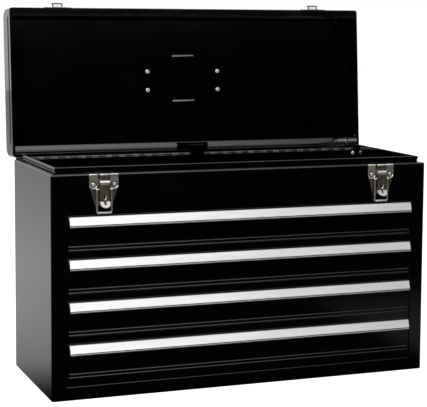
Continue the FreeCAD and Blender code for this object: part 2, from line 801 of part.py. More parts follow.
def latch_base(side):
    """The riveted plate with two ears that hold the lever's pin."""
    top_z = latch_top_z
    wide = latch_plate_width / 2
    narrow = latch_tail_width / 2
    shoulder = top_z - latch_shoulder_drop
    low = top_z - latch_plate_drop
    outline = [(-wide, top_z), (wide, top_z), (wide, shoulder),
               (narrow, low), (-narrow, low), (-wide, shoulder)]
    plate = prism_y(outline, front_y - latch_plate_thickness, front_y)
    plate = plate.makeFillet(latch_corner_radius, edges_along(plate, "y"))
    window_z = case_height - latch_window_drop - latch_window_height
    window = wide_box(latch_window_width / 2, front_y - overrun, front_y + overrun,
                      window_z, window_z + latch_window_height)
    ear_x = lever_width / 2 + ear_gap
    ear = box(ear_x, ear_x + ear_wall, front_y - ear_reach, front_y,
              latch_pivot_z - ear_half_height, latch_pivot_z + ear_half_height)
    tips = [edge for edge in edges_along(ear, "x") if near(edge.BoundBox.YMin, front_y - ear_reach)]
    ear = ear.makeFillet(ear_corner_radius, tips)
    whole = fuse_all([plate.cut(window), ear, mirrored(ear)])
    bore = rod_x(latch_pin_radius, -wide, wide, latch_pivot_y, latch_pivot_z)
    whole = moved_x(whole.cut(bore), side * latch_spacing / 2)
    return whole.cut(rivet_holes_y(latch_rivet_places(), front_y - overrun, front_y + overrun))


def latch_pin(side):
    half_length = lever_width / 2 + ear_gap + ear_wall + latch_pin_stand
    x = side * latch_spacing / 2
    return rod_x(latch_pin_radius, x - half_length, x + half_length, latch_pivot_y, latch_pivot_z)


def latch_lever(side):
    """The lever: a rolled barrel, a flat with two side flanges, a slot and a turned-out round end."""
    half = lever_width / 2
    inner_y = front_y - lever_plate_reach
    outer_y = inner_y - lever_wall
    bend_z = latch_pivot_z - lever_plate_drop
    tab_length = (lever_tab_drop - lever_plate_drop) / math.cos(math.radians(lever_tab_angle))
    barrel = rod_x(lever_barrel_radius, -half, half, latch_pivot_y, latch_pivot_z)
    plate = wide_box(half, outer_y, inner_y, bend_z, latch_pivot_z)
    tab = fuse_all([wide_box(half, outer_y, inner_y, bend_z - tab_length + half, bend_z),
                    rod_y(half, 0, outer_y, inner_y, bend_z - tab_length + half)])
    tab.rotate(vec(0, inner_y, bend_z), vec(1, 0, 0), -lever_tab_angle)
    flange = box(half - lever_wall, half, inner_y, inner_y + lever_flange_depth,
                 latch_pivot_z - lever_flange_low_drop, latch_pivot_z - lever_flange_top_drop)
    whole = fuse_all([barrel, plate, tab, flange, mirrored(flange)])
    slot_half = lever_slot_width / 2
    slot_top = latch_pivot_z - lever_slot_top_drop - slot_half
    slot_low = latch_pivot_z - lever_slot_low_drop + slot_half
    slot = fuse_all([wide_box(slot_half, outer_y - overrun, inner_y + overrun, slot_low, slot_top),
                     rod_y(slot_half, 0, outer_y - overrun, inner_y + overrun, slot_low),
                     rod_y(slot_half, 0, outer_y - overrun, inner_y + overrun, slot_top)])
    pin_bore = rod_x(latch_pin_radius + latch_pin_fit, -half - overrun, half + overrun,
                     latch_pivot_y, latch_pivot_z)
    bail_bore = rod_x(bail_wire_radius + bail_fit, -half - overrun, half + overrun,
                      bail_pivot_y, bail_pivot_z)
    return moved_x(whole.cut([slot, pin_bore, bail_bore]), side * latch_spacing / 2)


def latch_bail(side):
    end_x = lever_width / 2 - lever_wall - bail_end_margin
    low_z = bail_pivot_z - bail_drop
    points = [vec(-end_x, bail_pivot_y, bail_pivot_z), vec(-bail_half_width, bail_pivot_y, bail_pivot_z),
              vec(-bail_half_width, bail_pivot_y, low_z), vec(bail_half_width, bail_pivot_y, low_z),
              vec(bail_half_width, bail_pivot_y, bail_pivot_z), vec(end_x, bail_pivot_y, bail_pivot_z)]
    return moved_x(bent_wire(points, bail_bend_radius, bail_wire_radius), side * latch_spacing / 2)


def rivet_group(places, direction, grip, head_radius):
    return Part.makeCompound([rivet(place, direction, grip, head_radius) for place in places])


os.makedirs("parts", exist_ok=True)

# Case
skin = case_skin()
save("front_frame", front_frame(skin))
save("back_panel", back_panel(skin))
save("bottom_panel", bottom_panel(skin))
save("side_right", side_panel(skin))
save("side_left", mirrored(side_panel(skin)))
save("till_tray", till_tray())
save("till_rivets", rivet_group(till_rivet_places(), vec(0, -1, 0), 2 * sheet, rivet_head_radius))
save("lock_bar_guides", lock_bar_guides())

# Drawers and their rails
for number in range(1, drawer_count + 1):
    save(f"rail_{number}_right", rail(number))
    save(f"rail_{number}_left", mirrored(rail(number)))
    save(f"drawer_{number}_front", drawer_front(number))
    save(f"drawer_{number}_pan", drawer_pan(number))
    save(f"drawer_{number}_pull", drawer_pull(number))
    save(f"drawer_{number}_runner_right", drawer_runner(number))
    save(f"drawer_{number}_runner_left", mirrored(drawer_runner(number)))

# Lock bar
save("lock_bar", lock_bar())

# Hinge
save("hinge_case_leaf", hinge_leaf(1, -1))
save("hinge_pin", hinge_pin())
save("hinge_lid_leaf", opened(hinge_leaf(0, 1)))

# Lid
save("lid_shell", opened(lid_shell()))
save("lock_pusher", opened(lock_pusher()))
save("handle_rivets", opened(rivet_group(handle_rivet_places(), vec(0, 0, -1), sheet + bracket_thickness,
                                         handle_rivet_head_radius)))
save("strike_rivets", opened(rivet_group(strike_rivet_places(), vec(0, -1, 0), sheet + latch_plate_thickness,
                                         rivet_head_radius)))

# Handle
save("handle_bail", opened(handle_bail()))
save("handle_grip", opened(handle_grip()))

# Latches, with the strikes and brackets that come in pairs
save("latch_rivets", rivet_group(latch_rivet_places(), vec(0, -1, 0), sheet + latch_plate_thickness,
                                 rivet_head_radius))
for word, side in (("left", -1), ("right", 1)):
    save(f"handle_bracket_{word}", opened(handle_bracket(side)))
    save(f"strike_{word}", opened(strike(side)))
    save(f"latch_base_{word}", latch_base(side))
    save(f"latch_pin_{word}", latch_pin(side))
    save(f"latch_lever_{word}", latch_lever(side))
    save(f"latch_bail_{word}", latch_bail(side))
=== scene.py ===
"""Looks of the machinist tool chest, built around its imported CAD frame. Metres throughout."""

import json
import math

import bpy
from mathutils import Matrix, Vector

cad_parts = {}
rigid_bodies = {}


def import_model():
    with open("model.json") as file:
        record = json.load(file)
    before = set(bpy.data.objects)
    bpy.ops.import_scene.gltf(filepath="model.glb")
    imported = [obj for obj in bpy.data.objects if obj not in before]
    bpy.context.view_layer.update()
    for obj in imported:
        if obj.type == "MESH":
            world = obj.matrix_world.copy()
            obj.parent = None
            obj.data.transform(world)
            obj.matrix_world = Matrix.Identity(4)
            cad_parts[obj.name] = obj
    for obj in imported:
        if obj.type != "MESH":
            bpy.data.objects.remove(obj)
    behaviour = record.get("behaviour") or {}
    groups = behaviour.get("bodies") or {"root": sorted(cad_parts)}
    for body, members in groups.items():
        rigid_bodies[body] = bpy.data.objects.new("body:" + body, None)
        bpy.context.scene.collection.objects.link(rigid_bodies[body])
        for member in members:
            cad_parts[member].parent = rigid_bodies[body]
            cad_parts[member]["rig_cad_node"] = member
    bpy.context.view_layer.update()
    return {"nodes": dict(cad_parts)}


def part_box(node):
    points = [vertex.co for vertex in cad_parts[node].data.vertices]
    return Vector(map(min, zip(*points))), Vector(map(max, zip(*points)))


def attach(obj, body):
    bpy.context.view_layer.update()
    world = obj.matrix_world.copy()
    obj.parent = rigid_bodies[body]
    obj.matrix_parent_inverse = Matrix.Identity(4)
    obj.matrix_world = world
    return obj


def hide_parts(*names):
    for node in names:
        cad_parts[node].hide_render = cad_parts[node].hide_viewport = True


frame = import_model()


def middle_of(node):
    low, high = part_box(node)
    return (low + high) / 2


# Finishes

MIX_SOCKETS = {"RGBA": ((6, 7), 2), "FLOAT": ((2, 3), 0)}


def new_finish(name):
    """A material with an empty shader, and the point on the object that its patterns read."""
    finish = bpy.data.materials.new(name)
    finish.use_nodes = True
    tree = finish.node_tree
    tree.nodes.clear()
    out = tree.nodes.new("ShaderNodeOutputMaterial")
    shader = tree.nodes.new("ShaderNodeBsdfPrincipled")
    tree.links.new(shader.outputs["BSDF"], out.inputs["Surface"])
    point = tree.nodes.new("ShaderNodeTexCoord").outputs["Object"]
    return finish, tree, shader, point


def stretched(tree, point, scale):
    mapping = tree.nodes.new("ShaderNodeMapping")
    mapping.inputs["Scale"].default_value = scale
    tree.links.new(point, mapping.inputs["Vector"])
    return mapping.outputs["Vector"]


def noise(tree, point, scale, detail=2.0, roughness=0.5):
    node = tree.nodes.new("ShaderNodeTexNoise")
    node.inputs["Scale"].default_value = scale
    node.inputs["Detail"].default_value = detail
    node.inputs["Roughness"].default_value = roughness
    tree.links.new(point, node.inputs["Vector"])
    return node.outputs["Fac"]


def ranged(tree, value, low, high, start=0.3, end=0.7, smooth=False):
    """The value's run from start to end, spread over low to high."""
    node = tree.nodes.new("ShaderNodeMapRange")
    node.interpolation_type = "SMOOTHSTEP" if smooth else "LINEAR"
    node.inputs["From Min"].default_value = start
    node.inputs["From Max"].default_value = end
    node.inputs["To Min"].default_value = low
    node.inputs["To Max"].default_value = high
    tree.links.new(value, node.inputs["Value"])
    return node.outputs["Result"]


def two_tone(tree, value, dark, light, start=0.35, end=0.65):
    ramp = tree.nodes.new("ShaderNodeValToRGB")
    ramp.color_ramp.elements[0].position = start
    ramp.color_ramp.elements[0].color = (*dark, 1.0)
    ramp.color_ramp.elements[1].position = end
    ramp.color_ramp.elements[1].color = (*light, 1.0)
    tree.links.new(value, ramp.inputs["Fac"])
    return ramp.outputs["Color"]


def worked(tree, operation, *values):
    """One step of arithmetic on numbers or sockets."""
    node = tree.nodes.new("ShaderNodeMath")
    node.operation = operation
    for number, value in enumerate(values):
        if isinstance(value, (int, float)):
            node.inputs[number].default_value = value
        else:
            tree.links.new(value, node.inputs[number])
    return node.outputs["Value"]


def parts_of(tree, vector):
    split = tree.nodes.new("ShaderNodeSeparateXYZ")
    tree.links.new(vector, split.inputs["Vector"])
    return split.outputs["X"], split.outputs["Y"], split.outputs["Z"]


def blended(tree, share, first, second, kind="RGBA"):
    """Goes from the first colour or number to the second as the share rises."""
    node = tree.nodes.new("ShaderNodeMix")
    node.data_type = kind
    places, result = MIX_SOCKETS[kind]
    tree.links.new(share, node.inputs["Factor"])
    for place, value in zip(places, (first, second)):
        if isinstance(value, (float, tuple)):
            node.inputs[place].default_value = value
        else:
            tree.links.new(value, node.inputs[place])
    return node.outputs[result]


def relief(tree, height, depth, strength, under=None):
    """Surface bumps of a depth in metres, on top of others or on eased edges."""
    bump = tree.nodes.new("ShaderNodeBump")
    bump.inputs["Distance"].default_value = depth
    bump.inputs["Strength"].default_value = strength
    tree.links.new(height, bump.inputs["Height"])
    if under is not None:
        tree.links.new(under, bump.inputs["Normal"])
    return bump.outputs["Normal"]


def eased_edges(tree, radius):
    bevel = tree.nodes.new("ShaderNodeBevel")
    bevel.samples = 4
    bevel.inputs["Radius"].default_value = radius
    return bevel.outputs["Normal"]


def black_enamel():
    """Gloss powder coat: cloudy blacks, a fine orange peel, edges softened by the coat."""
    finish, tree, shader, point = new_finish("black_enamel")
    clouds = noise(tree, point, 7.0, 3.0)
    tree.links.new(two_tone(tree, clouds, (0.0003, 0.0003, 0.0004), (0.0009, 0.0009, 0.0011)),
                   shader.inputs["Base Color"])
    haze = noise(tree, point, 23.0, 4.0, 0.6)
    tree.links.new(ranged(tree, haze, 0.07, 0.12), shader.inputs["Roughness"])
    shader.inputs["Coat Weight"].default_value = 1.0
    shader.inputs["Coat Roughness"].default_value = 0.04
    peel = noise(tree, point, 620.0, 2.0, 0.45)
    edges = eased_edges(tree, 0.0005)
    tree.links.new(relief(tree, peel, 0.00006, 0.12, edges), shader.inputs["Normal"])
    return finish


def bright_aluminium():
    """Extruded pull: satin lines along its length, faint cloudiness."""
    finish, tree, shader, point = new_finish("bright_aluminium")
    along = stretched(tree, point, (6.0, 1900.0, 1900.0))
    lines = noise(tree, along, 1.0, 3.0, 0.7)
    clouds = noise(tree, stretched(tree, point, (14.0, 60.0, 60.0)), 1.0, 3.0)
    tree.links.new(two_tone(tree, clouds, (0.74, 0.755, 0.77), (0.82, 0.83, 0.835)),
                   shader.inputs["Base Color"])
    tree.links.new(ranged(tree, lines, 0.20, 0.34), shader.inputs["Roughness"])
    shader.inputs["Metallic"].default_value = 0.82
    edges = eased_edges(tree, 0.0004)
    tree.links.new(relief(tree, lines, 0.00002, 0.35, edges), shader.inputs["Normal"])
    return finish


def nickel(name, dark, light, metallic, rough):
    """Warm nickel over pressed steel: browner patches, and painted shade, dark brown, where parts meet."""
    finish, tree, shader, point = new_finish(name)
    patches = noise(tree, point, 140.0, 4.0, 0.6)
    metal = two_tone(tree, patches, dark, light)
    # Painted shade: the colour turns dark brown where nearby faces hide the surface, in the crevices where
    # parts meet.
    crevices = tree.nodes.new("ShaderNodeAmbientOcclusion")
    crevices.samples = 8
    crevices.inputs["Distance"].default_value = 0.0022
    crevice_shade = ranged(tree, crevices.outputs["AO"], 1.0, 0.0, 0.4, 0.92)
    metal_with_crevice_shade = blended(tree, crevice_shade, metal, (0.035, 0.025, 0.016, 1.0))
    tree.links.new(metal_with_crevice_shade, shader.inputs["Base Color"])
    handling = noise(tree, point, 420.0, 3.0, 0.6)
    tree.links.new(ranged(tree, handling, rough, rough + 0.1), shader.inputs["Roughness"])
    shader.inputs["Metallic"].default_value = metallic
    edges = eased_edges(tree, 0.0003)
    ripple = noise(tree, point, 260.0, 2.0)
    tree.links.new(relief(tree, ripple, 0.0001, 0.15, edges), shader.inputs["Normal"])
    return finish, tree, shader, point, metal_with_crevice_shade


def nickel_plate():
    return nickel("nickel_plate", (0.56, 0.51, 0.43), (0.76, 0.73, 0.66), 0.85, 0.17)[0]


def shaded_nickel():
    """A darker, browner copy of the nickel for the tail and the tongue: painted shade on their flats."""
    return nickel("shaded_nickel", (0.25, 0.215, 0.165), (0.36, 0.325, 0.265), 0.9, 0.2)[0]


def polished_highlight_nickel():
    """Rolled edges and rivet heads: a lighter, less metallic copy of the nickel, their polish with a painted
    highlight.
    """
    return nickel("polished_highlight_nickel", (0.84, 0.82, 0.77), (0.93, 0.92, 0.89), 0.72, 0.2)[0]


def lever_nickel():
    """Painted shade and highlight: dark brown on the lever's flat, near white on its barrel and on the end
    that the thumb lifts.
    """
    finish, tree, shader, point, metal = nickel("lever_nickel", (0.21, 0.165, 0.115), (0.31, 0.26, 0.20),
                                                0.85, 0.2)
    _, _, z = parts_of(tree, point)
    bend = LEVER_BEND_Z
    barrel = LEVER_BARREL_Z
    above = ranged(tree, z, 0.0, 1.0, bend - PAINTED_LIGHT_BLEND, bend + PAINTED_LIGHT_BLEND, smooth=True)
    below = ranged(tree, z, 1.0, 0.0, barrel - PAINTED_LIGHT_BLEND, barrel + PAINTED_LIGHT_BLEND, smooth=True)
    flat = worked(tree, "MULTIPLY", above, below)
    # Painted highlight: near-white colour on the barrel and on the turned-out end, with painted shade from
    # the dark metal on the flat between.
    highlit_lever = blended(tree, flat, (0.90, 0.88, 0.83, 1.0), metal)
    tree.links.new(highlit_lever, shader.inputs["Base Color"])
    return finish


def strike_nickel():
    """Plain on the plate. The hook has a painted highlight, near white and less metallic, on its face, and
    painted shade, dark, along its rim.
    """
    finish, tree, shader, point, metal = nickel("strike_nickel", (0.56, 0.51, 0.43), (0.76, 0.73, 0.66),
                                                0.85, 0.17)
    x, _, z = parts_of(tree, point)
    from_strike = worked(tree, "SUBTRACT", worked(tree, "ABSOLUTE", x), STRIKE_MIDDLE_X)
    across = worked(tree, "ABSOLUTE", from_strike)
    side = HOOK_HALF_WIDTH
    inner = ranged(tree, across, 1.0, 0.0, side - 0.0020, side - 0.0012, smooth=True)
    below = ranged(tree, z, 1.0, 0.0, STRIKE_TOP_Z - 0.0022, STRIKE_TOP_Z - 0.0010, smooth=True)
    face = worked(tree, "MULTIPLY", inner, below)
    hook = ranged(tree, z, 0.0, 1.0, STRIKE_PLATE_Z, STRIKE_PLATE_Z + PAINTED_LIGHT_BLEND, smooth=True)
    # Painted highlight on the hook's face, painted shade along its rim.
    hook_light_and_shade = blended(tree, face, (0.20, 0.19, 0.165, 1.0), (0.98, 0.98, 0.97, 1.0))
    tree.links.new(blended(tree, hook, metal, hook_light_and_shade), shader.inputs["Base Color"])
    highlit_face = worked(tree, "MULTIPLY", hook, face)
    tree.links.new(ranged(tree, highlit_face, 0.85, 0.2, 0.0, 1.0), shader.inputs["Metallic"])
    return finish


def zinc_steel():
    """Zinc-plated rolled steel: a mottled grey with a fine drawn grain."""
    finish, tree, shader, point = new_finish("zinc_steel")
    mottle = noise(tree, point, 90.0, 4.0, 0.65)
    tree.links.new(two_tone(tree, mottle, (0.47, 0.48, 0.50), (0.66, 0.67, 0.69)),
                   shader.inputs["Base Color"])
    grain = noise(tree, stretched(tree, point, (300.0, 18.0, 900.0)), 1.0, 3.0, 0.6)
    tree.links.new(ranged(tree, grain, 0.28, 0.46), shader.inputs["Roughness"])
    shader.inputs["Metallic"].default_value = 1.0
    edges = eased_edges(tree, 0.0003)
    tree.links.new(relief(tree, grain, 0.00003, 0.3, edges), shader.inputs["Normal"])
    return finish


def hinge_steel():
    """Dulled rolled steel of the hinge, greyer in its pores."""
    finish, tree, shader, point = new_finish("hinge_steel")
    mottle = noise(tree, point, 210.0, 4.0, 0.65)
    tree.links.new(two_tone(tree, mottle, (0.10, 0.105, 0.11), (0.19, 0.195, 0.20)),
                   shader.inputs["Base Color"])
    tree.links.new(ranged(tree, mottle, 0.34, 0.5), shader.inputs["Roughness"])
    shader.inputs["Metallic"].default_value = 1.0
    pores = noise(tree, point, 900.0, 2.0)
    edges = eased_edges(tree, 0.0003)
    tree.links.new(relief(tree, pores, 0.00003, 0.3, edges), shader.inputs["Normal"])
    return finish


def black_grip():
    """Moulded black plastic with a leathery spark grain."""
    finish, tree, shader, point = new_finish("black_grip")
    tone = noise(tree, point, 60.0, 3.0)
    tree.links.new(two_tone(tree, tone, (0.009, 0.009, 0.010), (0.017, 0.017, 0.018)),
                   shader.inputs["Base Color"])
    tree.links.new(ranged(tree, tone, 0.42, 0.58), shader.inputs["Roughness"])
    cells = tree.nodes.new("ShaderNodeTexVoronoi")
    cells.inputs["Scale"].default_value = 1300.0
    tree.links.new(point, cells.inputs["Vector"])
    edges = eased_edges(tree, 0.0005)
    tree.links.new(relief(tree, cells.outputs["Distance"], 0.00012, 0.5, edges),
                   shader.inputs["Normal"])
    return finish


def guide_nylon():
    """Black nylon, slightly translucent at its edges."""
    finish, tree, shader, point = new_finish("guide_nylon")
    tone = noise(tree, point, 110.0, 3.0)
    tree.links.new(two_tone(tree, tone, (0.030, 0.030, 0.031), (0.055, 0.054, 0.052)),
                   shader.inputs["Base Color"])
    tree.links.new(ranged(tree, tone, 0.38, 0.5), shader.inputs["Roughness"])
    shader.inputs["Subsurface Weight"].default_value = 0.1
    shader.inputs["Subsurface Scale"].default_value = 0.002
    grain = noise(tree, point, 1500.0, 1.0)
    edges = eased_edges(tree, 0.0003)
    tree.links.new(relief(tree, grain, 0.00004, 0.3, edges), shader.inputs["Normal"])
    return finish


def matt_shadow():
    """Painted shade: matt near-black for the bottom of grooves and seams."""
    finish, tree, shader, point = new_finish("matt_shadow")
    dust = noise(tree, point, 800.0, 3.0, 0.6)
    tree.links.new(two_tone(tree, dust, (0.0015, 0.0015, 0.0016), (0.004, 0.004, 0.0042)),
                   shader.inputs["Base Color"])
    tree.links.new(ranged(tree, dust, 0.7, 0.9), shader.inputs["Roughness"])
    shader.inputs["Specular IOR Level"].default_value = 0.15
    tree.links.new(relief(tree, dust, 0.00005, 0.3), shader.inputs["Normal"])
    return finish


def slot_highlight_steel():
    """Light grey steel along the edge in each of the lid's slots: a painted highlight line."""
    finish, tree, shader, point = new_finish("slot_highlight_steel")
    streaks = noise(tree, stretched(tree, point, (900.0, 60.0, 60.0)), 1.0, 3.0, 0.6)
    tree.links.new(two_tone(tree, streaks, (0.25, 0.25, 0.255), (0.34, 0.34, 0.345)),
                   shader.inputs["Base Color"])
    tree.links.new(ranged(tree, streaks, 0.4, 0.6), shader.inputs["Roughness"])
    shader.inputs["Metallic"].default_value = 0.35
    tree.links.new(relief(tree, streaks, 0.00004, 0.3), shader.inputs["Normal"])
    return finish


LEVER_BEND_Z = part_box("latch_lever_left")[1].z - 0.0264
LEVER_BARREL_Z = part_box("latch_lever_left")[1].z - 0.0054
# The width over which the painted light on the lever and the strike blends into the metal around it.
PAINTED_LIGHT_BLEND = 0.0006
STRIKE_MIDDLE_X = middle_of("strike_right").x
STRIKE_PLATE_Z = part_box("strike_right")[0].z + 0.0024
STRIKE_TOP_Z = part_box("strike_right")[1].z
HOOK_HALF_WIDTH = 0.00725

finishes = {
    "black_enamel": black_enamel(),
    "matt_shadow": matt_shadow(),
    "slot_highlight_steel": slot_highlight_steel(),
    "bright_aluminium": bright_aluminium(),
    "nickel_plate": nickel_plate(),
    "shaded_nickel": shaded_nickel(),
    "polished_highlight_nickel": polished_highlight_nickel(),
    "lever_nickel": lever_nickel(),
    "strike_nickel": strike_nickel(),
    "zinc_steel": zinc_steel(),
    "hinge_steel": hinge_steel(),
    "black_grip": black_grip(),
    "guide_nylon": guide_nylon(),
}


def finish_of(node):
    """The finish of a CAD node, by what the node is."""
    if node.endswith("_pull"):
        return "bright_aluminium"
    # Rivet heads take the lighter nickel with a painted highlight.
    if node.endswith("_rivets"):
        return "polished_highlight_nickel"
    if node.startswith("strike_"):
        return "strike_nickel"
    if node.startswith(("latch_", "handle_b")):
        return "nickel_plate"
    if node in ("hinge_case_leaf", "hinge_pin"):
        return "hinge_steel"
    if node.startswith("rail_") or "_runner_" in node:
        return "zinc_steel"
    if node == "handle_grip":
        return "black_grip"
    if node == "lock_bar_guides":
        return "guide_nylon"
    return "black_enamel"


for node, solid in frame["nodes"].items():
    solid.data.materials.clear()
    solid.data.materials.append(finishes[finish_of(node)])


# Ways of making a piece

NEAR = 1e-5
ROLL_ANGLE = 40.0
ROLL_END_SHARE = 0.6


def deselect_objects():
    """Leaves edit mode and selects nothing."""
    if bpy.context.object and bpy.context.object.mode != "OBJECT":
        bpy.ops.object.mode_set(mode="OBJECT")
    bpy.ops.object.select_all(action="DESELECT")


def select_in_mesh(piece, kind, wanted):
    """Leaves only the wanted vertices, edges or faces of the piece selected, in edit mode."""
    bpy.ops.object.mode_set(mode="EDIT")
    bpy.ops.mesh.select_mode(type={"vertices": "VERT", "edges": "EDGE", "polygons": "FACE"}[kind])
    bpy.ops.mesh.select_all(action="DESELECT")
    bpy.ops.object.mode_set(mode="OBJECT")
    mesh = piece.data
    for element in getattr(mesh, kind):
        if kind == "vertices":
            element.select = wanted(element.co)
        elif kind == "edges":
            ends = [mesh.vertices[number].co for number in element.vertices]
            element.select = all(wanted(end) for end in ends)
        else:
            element.select = wanted(element.center)
    bpy.ops.object.mode_set(mode="EDIT")


def front_sheet(name, x0, x1, z0, z1, y):
    """An upright rectangle that faces the front, in edit mode."""
    deselect_objects()
    bpy.ops.mesh.primitive_plane_add(size=1.0, location=((x0 + x1) / 2, y, (z0 + z1) / 2),
                                     rotation=(math.pi / 2, 0.0, 0.0))
    piece = bpy.context.active_object
    piece.name = name
    piece.scale = (x1 - x0, z1 - z0, 1.0)
    bpy.ops.object.transform_apply(location=True, rotation=True, scale=True)
    bpy.ops.object.mode_set(mode="EDIT")
    return piece


def with_modifiers(piece, *modifiers):
    """Adds each modifier with its settings and applies it."""
    if bpy.context.object.mode != "OBJECT":
        bpy.ops.object.mode_set(mode="OBJECT")
    for kind, settings in modifiers:
        modifier = piece.modifiers.new(kind.lower(), kind)
        for setting, value in settings.items():
            setattr(modifier, setting, value)
        bpy.context.view_layer.objects.active = piece
        bpy.ops.object.modifier_apply(modifier=modifier.name)


def bored(piece, x, z, radius, y0, y1):
    """Cuts a round hole from front to back through the piece."""
    deselect_objects()
    bpy.ops.mesh.primitive_cylinder_add(vertices=28, radius=radius, depth=y1 - y0,
                                        location=(x, (y0 + y1) / 2, z),
                                        rotation=(math.pi / 2, 0.0, 0.0))
    drill = bpy.context.active_object
    piece.select_set(True)
    bpy.context.view_layer.objects.active = piece
    with_modifiers(piece, ("BOOLEAN", {"operation": "DIFFERENCE", "object": drill, "solver": "EXACT"}))
    bpy.data.objects.remove(drill)


def smoothed(piece, angle):
    """Smooth shading across edges that turn less than the angle, in degrees."""
    deselect_objects()
    piece.select_set(True)
    bpy.context.view_layer.objects.active = piece
    bpy.ops.object.shade_smooth_by_angle(angle=math.radians(angle))


def eased(piece, width, angle=35.0):
    """Small round edges, then smooth shading over them."""
    with_modifiers(piece, ("BEVEL", {"width": width, "segments": 2, "limit_method": "ANGLE",
                                     "angle_limit": math.radians(angle)}))
    smoothed(piece, angle)
    with_modifiers(piece, ("WEIGHTED_NORMAL", {"keep_sharp": True, "weight": 100}))


def pulled_out(step):
    """Extrudes what is selected by the step."""
    bpy.ops.mesh.extrude_region_move(TRANSFORM_OT_translate={"value": step})


def finished(piece, finish, body):
    """Gives a new piece its finish and the body that it moves with."""
    piece.data.materials.clear()
    piece.data.materials.append(finishes[finish])
    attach(piece, body)


def bead(x0, x1, y, z, radius):
    """A rolled edge from side to side, with rounded ends."""
    deselect_objects()
    bpy.ops.mesh.primitive_cylinder_add(vertices=20, radius=radius, depth=x1 - x0,
                                        location=((x0 + x1) / 2, y, z), rotation=(0.0, math.pi / 2, 0.0))
    roll = bpy.context.active_object
    bpy.ops.object.transform_apply(location=True, rotation=True)
    with_modifiers(roll, ("BEVEL", {"width": radius * ROLL_END_SHARE, "segments": 3, "limit_method": "ANGLE",
                                    "angle_limit": math.radians(60.0)}))
    return roll


def joined(piece, *others):
    """Joins the others into the piece."""
    deselect_objects()
    for other in others:
        other.select_set(True)
    piece.select_set(True)
    bpy.context.view_layer.objects.active = piece
    bpy.ops.object.join()


def welded_copy(node, name):
    """A copy of a CAD node with its triangles joined up, ready to be cut and eased."""
    deselect_objects()
    source = frame["nodes"][node]
    source.select_set(True)
    bpy.context.view_layer.objects.active = source
    bpy.ops.object.duplicate()
    piece = bpy.context.active_object
    piece.name = name
    del piece["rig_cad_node"]
    bpy.ops.object.mode_set(mode="EDIT")
    bpy.ops.mesh.select_all(action="SELECT")
    bpy.ops.mesh.remove_doubles(threshold=0.000002)
    bpy.ops.mesh.dissolve_limited(angle_limit=math.radians(1.0))
    bpy.ops.object.mode_set(mode="OBJECT")
    return piece


# Latches: covers and a tongue over each base, bright edges, and a lever with a keyhole slot

# Drops go down from the case's top edge, rises go forward from its front or from the latch's
# plate, and reaches go sideways from a latch's middle.
CASE_FRONT_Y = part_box("front_frame")[0].y
CASE_TOP_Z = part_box("front_frame")[1].z
LATCH_CENTRES = {word: middle_of(f"latch_base_{word}").x for word in ("left", "right")}
LATCH_PLATE = 0.001
SHEET = 0.0006
SHEET_EDGE = 0.00014
BORE_REACH = 0.004

RIVET_DROP = 0.0136
RIVET_REACH = 0.0135
RIVET_HOLE_RADIUS = 0.0038
LOBE_REACHES = (0.0078, 0.0189)
LOBE_TOP_DROP = 0.0008
LOBE_LOW_RADIUS = 0.0054
LOBE_RISE = 0.0001


def latch_lobe(word, side):
    """The pressed cover round one rivet, with a half-round foot."""
    centre = LATCH_CENTRES[word]
    x0, x1 = sorted(centre + side * reach for reach in LOBE_REACHES)
    top = CASE_TOP_Z - LOBE_TOP_DROP
    low = CASE_TOP_Z - RIVET_DROP - LOBE_LOW_RADIUS
    y = CASE_FRONT_Y - LATCH_PLATE - LOBE_RISE
    end = "low" if side < 0 else "high"
    piece = front_sheet(f"latch_lobe_{word}_{end}", x0, x1, low, top, y)
    select_in_mesh(piece, "vertices", lambda co: co.z < low + NEAR)
    bpy.ops.mesh.bevel(affect="VERTICES", offset=LOBE_LOW_RADIUS, segments=8)
    with_modifiers(piece, ("SOLIDIFY", {"thickness": SHEET, "offset": 1.0}))
    bored(piece, centre + side * RIVET_REACH, CASE_TOP_Z - RIVET_DROP, RIVET_HOLE_RADIUS,
          y - BORE_REACH, y + BORE_REACH)
    eased(piece, SHEET_EDGE)
    finished(piece, "nickel_plate", "case")


FOOT_RIM_RADIUS = 0.0052
FOOT_ROLL_RADIUS = 0.0007
FOOT_ROLL_RISE = 0.0013
FOOT_CUT_DROP = 0.0016


def lobe_foot(word, side):
    """The rolled rim along a cover's half-round foot."""
    x = LATCH_CENTRES[word] + side * sum(LOBE_REACHES) / 2
    z = CASE_TOP_Z - RIVET_DROP
    deselect_objects()
    bpy.ops.mesh.primitive_torus_add(major_radius=FOOT_RIM_RADIUS, minor_radius=FOOT_ROLL_RADIUS,
                                     major_segments=40, minor_segments=12,
                                     location=(x, CASE_FRONT_Y - FOOT_ROLL_RISE, z),
                                     rotation=(math.pi / 2, 0.0, 0.0))
    rim = bpy.context.active_object
    bpy.ops.object.transform_apply(location=True, rotation=True)
    bpy.ops.object.mode_set(mode="EDIT")
    bpy.ops.mesh.select_all(action="SELECT")
    bpy.ops.mesh.bisect(plane_co=(x, 0.0, z - FOOT_CUT_DROP), plane_no=(0.0, 0.0, 1.0), use_fill=True,
                        clear_outer=True)
    bpy.ops.object.mode_set(mode="OBJECT")
    return rim


ROLL_RADIUS = 0.001
ROLL_RISE = 0.0011
ROLL_DROP = 0.0012
TONGUE_ROLL_ENDS = (-0.0060, 0.0066)


